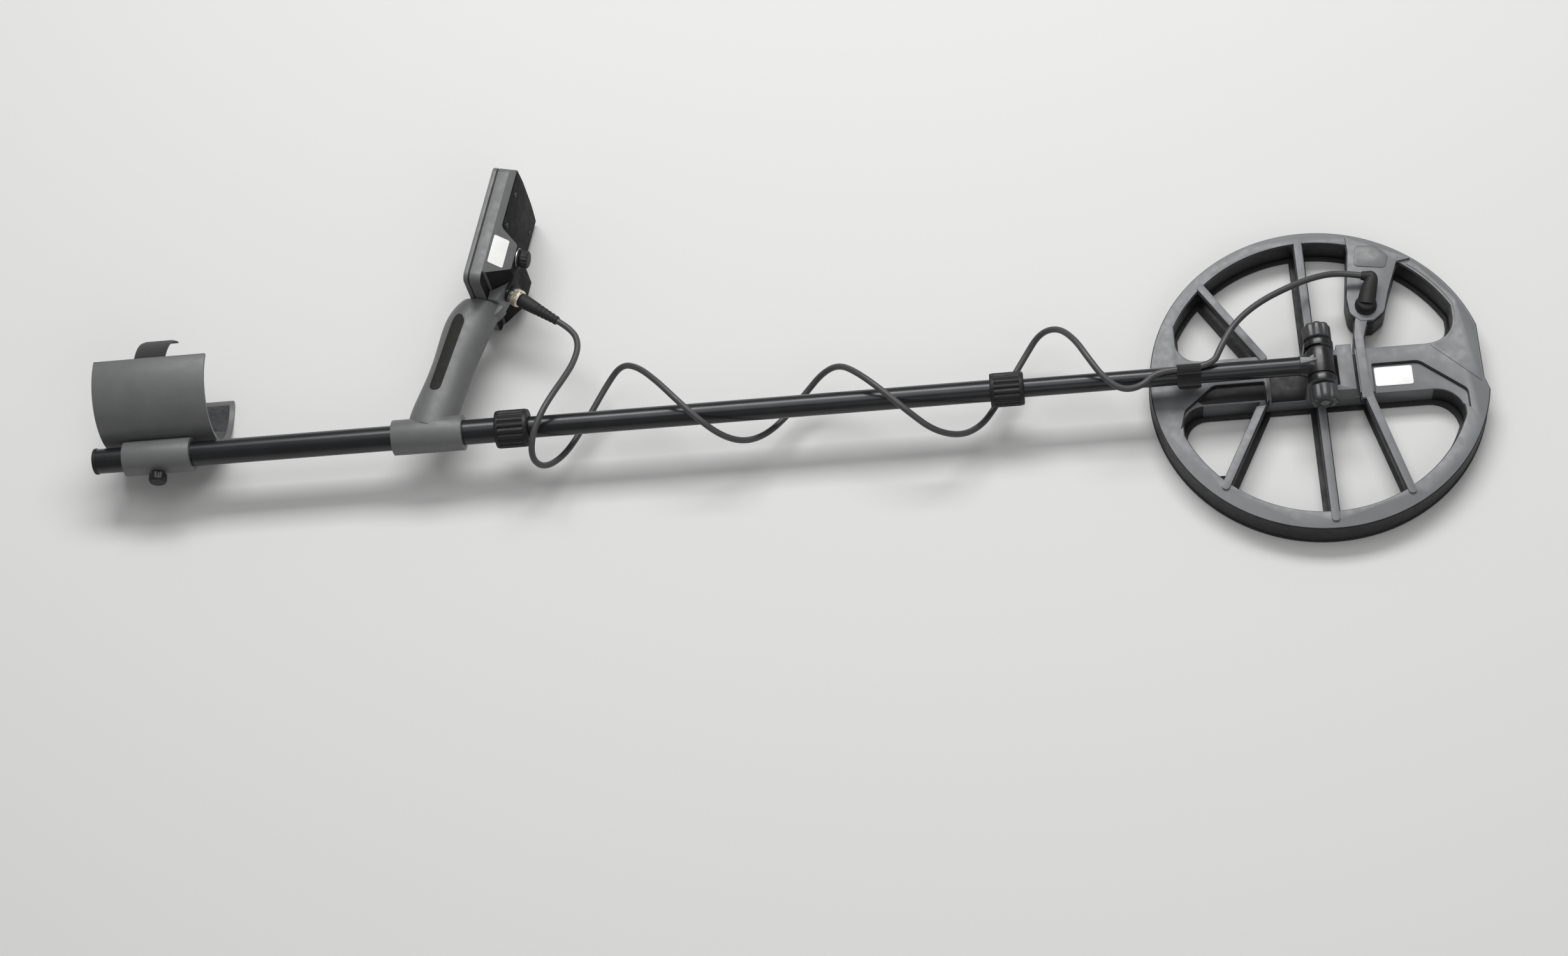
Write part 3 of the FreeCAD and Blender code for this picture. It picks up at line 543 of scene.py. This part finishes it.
def slab(name, outlines, low, high, ease=0.0):
    """Flat plates of given outlines, in millimetres, between two heights."""
    build = bmesh.new()
    for outline in outlines:
        base = build.faces.new([build.verts.new((x * MM, y * MM, low * MM)) for x, y in outline])
        grown = bmesh.ops.extrude_face_region(build, geom=[base])["geom"]
        lifted = [item for item in grown if isinstance(item, bmesh.types.BMVert)]
        bmesh.ops.translate(build, verts=lifted, vec=(0, 0, (high - low) * MM))
    mesh = closed_mesh(name, build, 30)
    if ease:
        mesh = applied(mesh, "BEVEL", width=ease * MM, segments=2, limit_method="ANGLE",
                       angle_limit=math.radians(35))
        smooth(mesh, 40)
    return mesh


def oval(x, y, radius, sides=24):
    """A round outline."""
    return [(x + radius * math.cos(2 * math.pi * k / sides), y + radius * math.sin(2 * math.pi * k / sides))
            for k in range(sides)]


def block(x0, y0, x1, y1):
    """A straight-sided outline."""
    return [(x0, y0), (x1, y0), (x1, y1), (x0, y1)]


# ---------------------------------------------------------------- coil

SKID_TOP = 24.6
WRAP = 0.9
RECESS_FLOOR = 18.0
RECESS = ((-42.2, 36.0), (-20.0, 24.5))
WINDING_CHANNEL = (3.2, 17.9)
EAR_SPAN = (-13.5, 15.8)
EAR_REACH = 20.0
EAR_FOOT = 18.2


def add_skid_wrap_and_wall_shade(material):
    """The skid cover's thin dark walls, which wrap the coil's sides below the shell's top; their darkness is
    partly the cover's own black plastic and partly painted shade on the walls, which lie in shade.
    """
    mesh = node_mesh("coil_shell")
    build = bmesh.new()
    build.from_mesh(mesh)
    everything = build.verts[:] + build.edges[:] + build.faces[:]
    bmesh.ops.bisect_plane(build, geom=everything, plane_co=(0, 0, SKID_TOP * MM), plane_no=(0, 0, 1),
                           clear_outer=True)
    flat = [face for face in build.faces if abs(face.normal.z) > 0.5 or lies_inside(face)]
    bmesh.ops.delete(build, geom=flat, context="FACES")
    build.to_mesh(mesh)
    build.free()
    mesh = applied(mesh, "SOLIDIFY", thickness=WRAP * MM, offset=1, use_even_offset=True)
    smooth(mesh, 40)
    add_piece("coil_skid_wrap_and_shade", mesh, "coil", material)


def lies_inside(face):
    """Whether a face belongs to a winding's channel, or to the recess round the hinge."""
    heights = [vertex.co.z / MM for vertex in face.verts]
    if min(heights) > WINDING_CHANNEL[0] and max(heights) < WINDING_CHANNEL[1]:
        return True
    middle = face.calc_center_median() / MM
    (x_low, x_high), (y_low, y_high) = RECESS
    return x_low < middle.x < x_high and y_low < middle.y < y_high and middle.z > RECESS_FLOOR


def is_hinge_ear(_, corners):
    """Whether a face of the coil's shell belongs to the two dark ears that hold the hinge bolt."""
    return all(EAR_SPAN[0] < x < EAR_SPAN[1] and abs(y) < EAR_REACH and z > EAR_FOOT for x, y, z in corners)


def arc_points(centre, radius, start, end, steps):
    """Points along an arc, in millimetres, from one angle to another."""
    angles = [math.radians(start + (end - start) * k / steps) for k in range(steps + 1)]
    return [(centre[0] + radius * math.cos(angle), centre[1] + radius * math.sin(angle)) for angle in angles]


def toe_band():
    """Outline of the raised band that runs from the crease at the toe along the rim to the ear."""
    outer = arc_points((0, 0), 140.6, 16, 50, 14)
    inner = arc_points((0, 0), 134.8, 50, 26.5, 10)
    corner = arc_points((95, 48), 25.8, 0, -86, 10)
    return [(135.2, -16), *outer, *inner, *corner]


def add_coil(materials):
    """The coil's shell, skid cover, badge, label and raised band; a dark wrap on its walls that is partly
    painted shade; painted shade as dark plates in the hinge recess; and the dark inlay of the heel panel.
    """
    shell = soften("coil_shell", 1.5 * MM, materials["grey_plastic"])
    paint_faces(shell, materials["gloss_black"], is_hinge_ear)
    soften("coil_skid_plate", 0.7 * MM, materials["dark_plastic"])
    soften("coil_badge", 0.25 * MM, materials["badge"])
    soften("coil_label", 0.2 * MM, materials["label"])
    add_skid_wrap_and_wall_shade(materials["dark_plastic"])
    band = slab("coil_toe_band", [toe_band()], 25.9, 26.6, 0.3)
    add_piece("coil_toe_band", band, "coil", materials["grey_plastic"])
    # painted shade: near-black plates on the floor of the hinge recess, which lies in shade
    recess_shade_plates = [block(-41.6, -17.4, -13.0, 23.4), block(-13.0, -13.9, 15.6, 13.9),
              block(-13.0, 19.8, 15.6, 23.4), block(29.4, -17.4, 33.6, 23.4)]
    film = slab("coil_recess_painted_shade", recess_shade_plates, RECESS_FLOOR, 18.3)
    add_piece("coil_recess_painted_shade", film, "coil", materials["dark_plastic"])
    heel = [(-47.2, -16.4), (-47.2, -1.4), (-89.4, -1.4), (-104, -13.4), (-100, -16.4)]
    film = slab("coil_heel_film", [heel], 22.5, 22.85, 0.12)
    add_piece("coil_heel_film", film, "coil", materials["dark_plastic"])


def add_coil_boot(rubber):
    """The cable's right-angle boot: a round base and a neck that narrows to the cable."""
    profile = eased([(0, 0.5, 0), (0, 9.4, 0), (2.2, 9.4, 0), (3.0, 8.6, 0), (7.6, 7.9, 0), (9.0, 5.5, 0),
                     (9.0, 0.5, 0)], 1.0)
    base = turned("coil_boot_base", profile, (47, 64, 28.5), (0, 0, 1))
    add_piece("coil_boot_base", base, "coil", rubber, ("coil_boot",))
    line = route_line([(47, 63, 33), (48.5, 70, 35.2), (51.5, 78, 36.6), (54.6, 87.2, 37.4), (51, 87.4, 38.2),
                       (45.3, 88.25, 38.87)])
    neck = swept("coil_boot_neck", line, lambda share: (7.7 - 4.0 * share ** 1.6) * MM, 28)
    add_piece("coil_boot_neck", neck, "coil", rubber)


# ---------------------------------------------------------------- hinge and locks

def add_hinge(materials):
    """The tilt hinge: lobed knob and nut, washers and the rod end between them."""
    lobed = [(0.2, 4.1, 0), (0.2, 8.6, 0), (2.2, 8.9, 0), (2.9, 11.9, 0.3), (14.6, 11.9, 1), (16.5, 10.9, 1),
             (16.9, 6.6, 0), (15.8, 6.2, 0), (15.8, 4.1, 0)]
    for name, origin, axis in (("hinge_knob", (0, 20, SHAFT_Z), (0, 1, 0)),
                               ("hinge_nut", (0, -20, SHAFT_Z), (0, -1, 0))):
        mesh = turned(f"{name}_skin", eased(lobed, 1.0), origin, axis, lobes=8, depth=1.6, sides=96,
                      bored=True)
        add_piece(f"{name}_skin", mesh, BODY_OF[name], materials["hinge_plastic"], (name,))
    soften("hinge_washers", 0.5 * MM, materials["rubber"])
    soften("rod_end", 0.8 * MM, materials["gloss_black"])
    outline = [(-17.5, -3.2), (-17.5, 3.2), (-12, 2.6), (-3.0, 0.8), (-3.0, -0.8), (-12, -2.6)]
    rib = slab("rod_end_rib", [outline], 56.0, 59.4, 0.5)
    add_piece("rod_end_rib", rib, "lower_shaft", materials["grey_plastic"])


def add_locks(materials):
    """The two twist locks, each a lipped ring with grip ribs, and the cable's strap."""
    locks = (("lower_lock_collar", -280.0, 14.8, 8.5, 12.5), ("upper_lock_collar", -709.0, 16.6, 10.0, 14.0))
    for name, back, outer, bore, room in locks:
        ring = [(27.0, bore, 0), (27.0, room, 0), (0.0, room, 0), (0.0, outer - 0.5, 0), (2.6, outer, 0),
                (3.6, outer, 1), (24.6, outer, 1), (25.6, outer, 0), (28.4, outer - 0.6, 0),
                (29.0, outer - 2.2, 0), (29.0, bore, 0)]
        mesh = turned(f"{name}_skin", eased(ring, 0.5, 2), (back, 0, SHAFT_Z), (1, 0, 0), lobes=18, depth=1.3,
                      sides=180, bored=True)
        add_piece(f"{name}_skin", mesh, BODY_OF[name], materials["dark_plastic"], (name,))
    soften("upper_end_cap", 0.8 * MM, materials["dark_plastic"])
    soften("cable_strap", 0.5 * MM, materials["webbing"])
    tab = arc_band("cable_strap_tab", (-120, -101), 9.75, 12.4, (-165, -15), (0, SHAFT_Z))
    add_piece("cable_strap_tab", tab, "lower_shaft", materials["webbing"])


EDGE_PULL = 0.55  # how thick a band is at its rolled edges, as a share


def arc_band(name, span, inner, outer, angles, centre, steps=28, across=6):
    """A curved band about an axis along X, with rolled edges; its angles start at +Y and rise to +Z."""
    build = bmesh.new()
    grid = {}
    for i in range(steps + 1):
        angle = math.radians(angles[0] + (angles[1] - angles[0]) * i / steps)
        end_pull = 1 if 0 < i < steps else EDGE_PULL
        for j in range(across + 1):
            along = span[0] + (span[1] - span[0]) * j / across
            pull = (1 if 0 < j < across else EDGE_PULL) * end_pull
            for level, radius in ((0, inner), (1, inner + (outer - inner) * pull)):
                y = centre[0] + radius * math.cos(angle)
                z = centre[1] + radius * math.sin(angle)
                grid[i, j, level] = build.verts.new((along * MM, y * MM, z * MM))
    join_grid(build, grid, steps, across)
    return closed_mesh(name, build, 60)


# ---------------------------------------------------------------- control pod

POD_BACK = 21.02
SCREW_SEAT = 21.01
SYMBOL_DEPTHS = (1.15, 1.28)
DISPLAY_DEPTHS = (-4.38, -4.25)
SOCKET = (40, 22)  # height and width of the accessory socket on the pod's back
POD_LEAN = Matrix.Rotation(math.radians(-13), 4, "Z")
POD_PLACE = Matrix.Translation((-732 * MM, 127 * MM, SHAFT_Z * MM)) @ POD_LEAN
# carries a flat plate's x, y and height onto the pod's height, width and outward depth
POD_FACE = POD_PLACE @ Matrix(((0, 0, -1, 0), (1, 0, 0, 0), (0, 1, 0, 0), (0, 0, 0, 1)))
# carries a flat plate's x, y and height onto the pod's height, width and depth behind its back face
BACKWARD = Matrix(((0, 0, 1, 0), (1, 0, 0, 0), (0, 1, 0, 0), (0, 0, 0, 1)))
POD_REAR = POD_PLACE @ Matrix.Translation((POD_BACK * MM, 0, 0)) @ BACKWARD


def on_pod(mesh):
    """Carry a plate drawn as height, width and outward depth onto the pod's front."""
    mesh.transform(POD_FACE)
    mesh.flip_normals()
    return mesh


def pod_point(depth, height, width):
    """A place in the pod's own frame, in the model's millimetres."""
    return POD_PLACE @ (Vector((depth, height, width)) * MM) / MM


POD_AXIS = POD_PLACE.to_3x3() @ Vector((1, 0, 0))
SYMBOLS = {
    1: [block(24.4, -34.4, 25.6, -29.6)],
    2: [block(24.4, -18.4, 25.6, -13.6), block(22.6, -16.6, 24.4, -15.4), block(25.6, -16.6, 27.4, -15.4)],
    3: [block(23, -2.6, 24, 2.6), block(24.7, -2.6, 25.7, 2.6), block(26.4, -2.6, 27.4, 2.6)],
    4: [[(23, 13.4), (27, 16), (23, 18.6)]],
    5: [oval(25, 32, 2.2)],
}


def add_screw(name, centre, axis, replaced, material):
    """A pan head with a six-lobed drive."""
    head = [(1.35, 0.4, 0), (0.5, 0.9, 1), (0.5, 1.2, 1), (1.35, 1.25, 1), (1.4, 1.6, 0), (1.1, 2.2, 0),
            (0.0, 2.38, 0), (0.0, 0.4, 0)]
    mesh = turned(name, head, centre, axis, lobes=6, depth=0.35, sides=48, bored=True)
    add_piece(name, mesh, "handle_frame", material, replaced)


def is_pod_rear(face, _):
    """Whether a face of the housing looks backward and not to a side, and so gets painted shade."""
    return face.normal.dot(POD_AXIS) > 0.5 and abs(face.normal.z) < 0.5


def add_pod(materials):
    """The control pod's shells, with its rear faces painted near black as painted shade, and the horn that
    carries it.
    """
    soften("pod_bezel", 1.3 * MM, materials["pod_plastic"])
    # painted light: the horn takes the coil's lighter grey instead of the pod's, to stand for light falling
    # on it
    soften("socket_horn", 1.3 * MM, materials["grey_plastic"])
    housing = soften("pod_housing", 1.5 * MM, materials["pod_plastic"])
    paint_faces(housing, materials["rear_painted_shade"], is_pod_rear)
    soften("side_label", 0.2 * MM, materials["label"])


def add_keys(materials):
    """Five keys and the power key, each with a plain sign."""
    for i, outlines in SYMBOLS.items():
        soften(f"key_{i}", 0.9 * MM, materials["rubber"])
        sign = on_pod(slab(f"key_{i}_symbol", outlines, *SYMBOL_DEPTHS))
        add_piece(f"key_{i}_symbol", sign, f"key_{i}", materials["symbol"])
    soften("power_key", 0.9 * MM, materials["rubber"])
    sign = on_pod(slab("power_key_symbol", [oval(11, 0, 1.6)], *SYMBOL_DEPTHS))
    add_piece("power_key_symbol", sign, "power_key", materials["symbol"])


def add_rear_cover(material):
    """The thin arched cover on the pod's back, in the near-black painted shade of the pod's rear faces."""
    arch = [(112, -42.4), (114.2, -40), (116.2, -20), (117, 0), (116.2, 20), (114.2, 40), (112, 42.4)]
    cover = slab("pod_rear_cover", [[(61, -42.4), *arch, (61, 42.4)]], 0, 0.5, 0.2)
    cover.transform(POD_REAR)
    add_piece("pod_rear_cover", cover, "handle_frame", material)


def add_display(material):
    """The display's segments: a rising row, a scale, a ring and a mask round them."""
    bars = [block(58 + 3.2 * i, -30, 60.4 + 3.2 * i, -26 + 1.6 * i) for i in range(10)]
    scale = [block(48, -33 + 4.2 * i, 50.4, -30 + 4.2 * i) for i in range(16)]
    ring = [block(66, 8, 68, 26), block(86, 8, 88, 26), block(68.6, 6, 85.4, 8), block(68.6, 26, 85.4, 28)]
    mask = [block(41, -37, 45.5, 37), block(100, -37, 103, 37), block(45.5, -37, 100, -34.4),
            block(45.5, 34.4, 100, 37)]
    segments = on_pod(slab("lcd_segments", bars + scale + ring + mask, *DISPLAY_DEPTHS))
    add_piece("lcd_segments", segments, "handle_frame", material)


def add_pod_back(materials):
    """The accessory socket with its dust cap, and four screws, on the pod's back."""
    profile = eased([(0, 0.5, 0), (0, 6.6, 0), (0.8, 6.6, 0), (1.3, 7.95, 0.2), (6.6, 7.95, 1),
                     (7.95, 6.4, 0.4), (7.95, 0.5, 0)], 0.8)
    cap = turned("dust_cap_skin", profile, pod_point(38.4, *SOCKET), POD_AXIS, lobes=14, depth=0.7, sides=112)
    add_piece("dust_cap_skin", cap, "dust_cap", materials["rubber"], ("dust_cap",))
    profile = eased([(0, 3.3, 0), (0, 9.5, 0), (1.2, 9.5, 0), (1.2, 5.5, 0), (2.3, 5.5, 0),
                     (2.3, 3.3, 0)], 0.35)
    ring = turned("accessory_socket_ring", profile, pod_point(36.05, *SOCKET), POD_AXIS, bored=True)
    add_piece("accessory_socket_ring", ring, "handle_frame", materials["steel"],
              ("accessory_socket",))
    for i, (height, width) in enumerate(((66, -33), (66, 33), (98, -33), (98, 33))):
        add_screw(f"pod_screw_{i + 1}", pod_point(SCREW_SEAT, height, width), POD_AXIS,
                  ("pod_screws",) if i == 0 else (), materials["screw_steel"])


# ---------------------------------------------------------------- coil plug

PLUG_ROOT = Vector((-702.5, 138.5, SHAFT_Z))
PLUG_WAY = Vector((0.8, -0.6, 0))


def add_round_piece(name, body, slot, profile, replaced, material, **lobes):
    """A piece of the plug, turned about the plug's axis."""
    mesh = turned(name, profile, PLUG_ROOT, PLUG_WAY, **lobes)
    add_piece(name, mesh, body, material, replaced)


def boot_profile():
    """The boot's outline: a smooth sleeve, five thinning ribs and a tip."""
    boot = [(17.4, 0.5, 0), (17.4, 6.3, 0), (18.4, 6.55, 0), (21, 6.5, 0)]
    for i in range(5):
        start = 36 + 4.2 * i
        radius = 5.4 - 0.3 * i
        boot += [(start, radius, 0), (start + 0.5, radius - 0.55, 0), (start + 1.6, radius - 0.6, 0),
                 (start + 2.1, radius - 0.16, 0)]
    return boot + [(57.2, 4.0, 0), (58.0, 3.5, 0), (58.0, 0.5, 0)]


def add_plug(materials):
    """The screwed plug: socket nut, knurled ring with its collar, tapered boot and the cap's tether."""
    nut = eased([(-4, 0.5, 0), (-4, 6.15, 0), (3.2, 6.15, 0), (3.2, 5.9, 0), (5.0, 5.6, 0),
                 (5.0, 0.5, 0)], 0.3)
    add_round_piece("coil_socket_nut", "handle_frame", "steel", nut, ("coil_socket",), materials["steel"])
    knurl = eased([(9.7, 5.65, 0), (9.7, 7.3, 0), (10.4, 8.0, 0), (11.0, 8.0, 1), (14.6, 8.0, 1),
                   (15.2, 8.0, 0), (16.9, 7.1, 0), (16.9, 5.65, 0)], 0.3)
    add_round_piece("plug_ring_skin", "plug_ring", "brass", knurl, ("plug_ring",), materials["brass"],
                    lobes=30, depth=0.35, sides=240, bored=True)
    collar = eased([(6.05, 5.65, 0), (6.05, 6.9, 1), (9.2, 6.9, 1), (9.65, 6.3, 0), (9.65, 5.65, 0)], 0.25)
    add_round_piece("plug_ring_collar", "plug_ring", "steel", collar, (), materials["steel"],
                    lobes=6, depth=0.6, sides=96, bored=True)
    boot = eased(boot_profile(), 0.4, 2)
    add_round_piece("plug_boot_skin", "handle_frame", "rubber", boot, ("plug_boot",), materials["rubber"])
    soften("cap_tether", 0.2 * MM, materials["rubber"])


# ---------------------------------------------------------------- grip

def add_grip(materials):
    """The grip's two shells, its rubber inlays, lip and screws."""
    for name in ("grip_left_shell", "grip_right_shell"):
        soften(name, 0.6 * MM, materials["pod_plastic"])
    soften("grip_inlays", 0.5 * MM, materials["inlay_rubber"])
    outline = [(-716, 112), (-711, 110.6), (-707.2, 114.4), (-702.6, 119.6), (-707.6, 123.4), (-714, 124)]
    lip = slab("grip_lip", [outline], 41, 55, 1.6)
    add_piece("grip_lip", lip, "handle_frame", materials["pod_plastic"])
    for i, (x, y) in enumerate(((-744, 52), (-724, 108))):
        add_screw(f"grip_screw_{i + 1}", (x, y, 35), (0, 0, -1), ("grip_screws",) if i == 0 else (),
                  materials["screw_steel"])


# ---------------------------------------------------------------- armrest

CUFF_CENTRE = (62, SHAFT_Z)
PAD_OUTER = 44.85
PAD_RISE = 8      # how far the pad goes up the cuff's wings past its centre
PAD_BACK = -1056
PAD_LENGTH = 92
CELLS = 5


def pad_surface(u, v):
    """How far the pad stands off the cuff: pulled in at its border and at the sewn channels between cells."""
    border = min(u, 1 - u) / 0.045, min(v, 1 - v) / 0.09
    edge = min(1, border[0]) * min(1, border[1])
    cell = (u * CELLS) % 1
    channel = min(1, min(cell, 1 - cell) / 0.12)
    swell = 0.55 + 0.45 * math.sin(math.pi * cell) ** 0.6
    return 0.7 + 2.8 * (edge ** 0.5) * (0.35 + 0.65 * channel ** 0.7) * swell


def add_armrest(materials):
    """The cuff with its quilted liner, its strap and its clamp screw."""
    soften("armrest_cuff", 1.0 * MM, materials["pod_plastic"])
    profile = eased([(0, 0.5, 0), (0, 6.4, 0), (1.2, 7.9, 0.3), (7.4, 7.9, 1), (8.9, 6.2, 0.6), (9.0, 3.1, 0),
                     (13.9, 3.0, 0), (13.9, 0.5, 0)], 0.6)
    knob = turned("armrest_screw_skin", profile, (-1010, -25.5, SHAFT_Z), (0, 1, 0), lobes=7, depth=1.5,
                  sides=84)
    add_piece("armrest_screw_skin", knob, "armrest_screw", materials["dark_plastic"],
              ("armrest_screw",))
    pad = quilted_pad()
    liner = add_piece("armrest_pad_skin", pad, "armrest", materials["foam"], ("armrest_pad",))
    strap = arc_band("armrest_strap_skin", (-1024, -996), 45.9, 47.6, (15.0, 165.0), CUFF_CENTRE, 60, 10)
    add_piece("armrest_strap_skin", strap, "armrest", materials["webbing"], ("armrest_strap",))


def quilted_pad(steps=120, across=48):
    """The foam liner between the cuff's wings, thick between its sewn channels."""
    rise = math.degrees(math.asin(PAD_RISE / PAD_OUTER))
    start, end = 180 - rise, 360 + rise
    build = bmesh.new()
    grid = {}
    for i in range(steps + 1):
        u = i / steps
        angle = math.radians(start + (end - start) * u)
        for j in range(across + 1):
            v = j / across
            along = PAD_BACK + PAD_LENGTH * v
            for level, radius in ((0, PAD_OUTER), (1, PAD_OUTER - pad_surface(u, v))):
                y = CUFF_CENTRE[0] + radius * math.sin(angle)
                z = CUFF_CENTRE[1] + radius * math.cos(angle)
                grid[i, j, level] = build.verts.new((along * MM, y * MM, z * MM))
    join_grid(build, grid, steps, across)
    return closed_mesh("armrest_pad_skin", build, 80)


# ---------------------------------------------------------------- build

materials = make_materials()
add_camera()
add_studio()
add_cables(materials["cable"])

for name, thing in nodes.items():
    thing.data.materials.clear()
    thing.data.materials.append(materials[SLOT_OF[name]])
nodes["lcd_panel"].data.materials[0] = materials["lcd"]

add_coil(materials)
add_coil_boot(materials["rubber"])
add_hinge(materials)
add_locks(materials)
add_pod(materials)
add_keys(materials)
add_rear_cover(materials["rear_painted_shade"])
add_display(materials["gloss_black"])
add_pod_back(materials)
add_plug(materials)
add_grip(materials)
add_armrest(materials)
